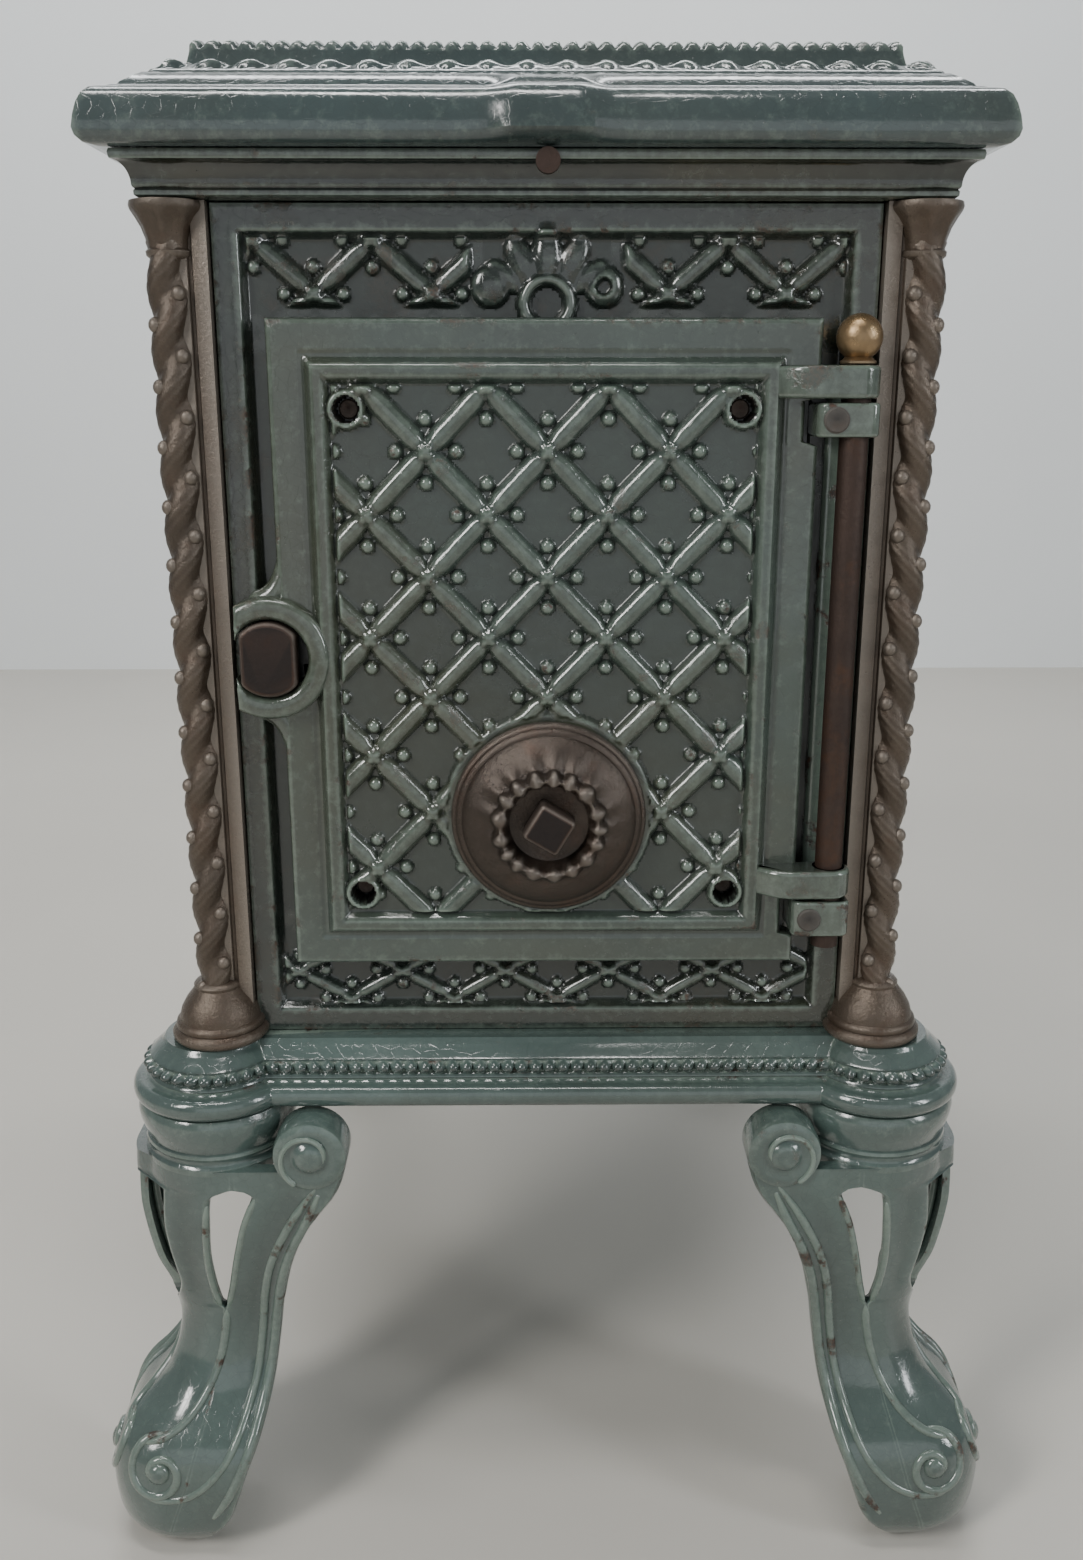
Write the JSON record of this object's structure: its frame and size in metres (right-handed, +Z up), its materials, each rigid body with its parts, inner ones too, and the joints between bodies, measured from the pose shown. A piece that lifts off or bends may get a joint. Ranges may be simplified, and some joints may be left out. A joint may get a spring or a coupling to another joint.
{
  "type": "solid fuel stove",
  "caption": "Small enamelled cast-iron stove on four scroll legs, with a hinged fire door, an air regulator and a lift-up top cover.",
  "frame": {"origin": "middle of the footprint, on the floor under the feet", "axes": "+Z up, -Y towards the person at the fire door, +X to that person's right"},
  "size_m": [0.3564, 0.4914, 0.5694],
  "materials": {
    "grey_green_enamel": "glossy vitreous enamel on cast iron, crazed and chipped",
    "burnished_iron": "burnished, satin, brown",
    "bare_cast_iron": "sooty, matt",
    "rusted_steel": "rusty, rough",
    "worn_brass": "worn, dull",
    "fire_brick": "matt, sooty"
  },
  "bodies": {
    "stove": {"base_frame": "grey_green_enamel", "front_left_leg": "grey_green_enamel", "front_right_leg": "grey_green_enamel", "rear_left_leg": "grey_green_enamel", "rear_right_leg": "grey_green_enamel", "front_left_pillar": "burnished_iron", "front_right_pillar": "burnished_iron", "rear_left_pillar": "burnished_iron", "rear_right_pillar": "burnished_iron", "front_panel": "grey_green_enamel", "rear_panel": "grey_green_enamel", "left_side_panel": "grey_green_enamel", "right_side_panel": "grey_green_enamel", "cornice": "grey_green_enamel", "cornice_bolt": "rusted_steel", "hob_plate": "bare_cast_iron", "hob_ring": "bare_cast_iron", "hob_lid": "bare_cast_iron", "cover_brackets": "rusted_steel", "cover_pins": "rusted_steel", "tie_rods": "rusted_steel", "tie_rod_nuts": "rusted_steel", "hinge_pin": "rusted_steel", "hinge_finial": "worn_brass", "lug_screws": "rusted_steel", "grate": "bare_cast_iron", "ash_pan": "rusted_steel", "ash_pan_handle": "bare_cast_iron", "left_liner": "fire_brick", "right_liner": "fire_brick", "rear_liner": "fire_brick", "liner_bolts": "rusted_steel", "smoke_plate": "bare_cast_iron", "flue_collar": "bare_cast_iron", "flue_bolts": "rusted_steel"},
    "door": {"door": "grey_green_enamel", "door_baffle": "bare_cast_iron", "baffle_screws": "rusted_steel", "baffle_nuts": "rusted_steel"},
    "latch": {"latch_spindle": "rusted_steel", "latch_tongue": "rusted_steel", "latch_nut": "rusted_steel"},
    "regulator_carrier": {"regulator_washer": "rusted_steel"},
    "regulator": {"regulator_dome": "burnished_iron", "regulator_stem": "rusted_steel", "regulator_nut": "rusted_steel"},
    "cover": {"top_cover": "grey_green_enamel"}
  },
  "joints": [
    {"name": "door_swing", "type": "hinge", "parent": "stove", "child": "door", "pos_m": [0.1052, -0.212, 0.362], "axis": [0, 0, 1], "range_deg": [0, 120]},
    {"name": "latch_turn", "type": "hinge", "parent": "door", "child": "latch", "pos_m": [-0.0993, -0.2, 0.3635], "axis": [0, 1, 0], "range_deg": [0, 90]},
    {"name": "regulator_travel", "type": "slide", "parent": "door", "child": "regulator_carrier", "axis": [0, -1, 0], "range_m": [0, 0.0061]},
    {"name": "regulator_turn", "type": "hinge", "parent": "regulator_carrier", "child": "regulator", "pos_m": [0.0005, -0.21, 0.305], "axis": [0, -1, 0], "range_deg": [0, 720]},
    {"name": "cover_lift", "type": "hinge", "parent": "stove", "child": "cover", "pos_m": [0, 0.23, 0.5409], "axis": [-1, 0, 0], "range_deg": [0, 95]}
  ],
  "couplings": [
    {"joint": "regulator_travel", "follows": "regulator_turn", "m_per_rad": 0.00047746}
  ]
}
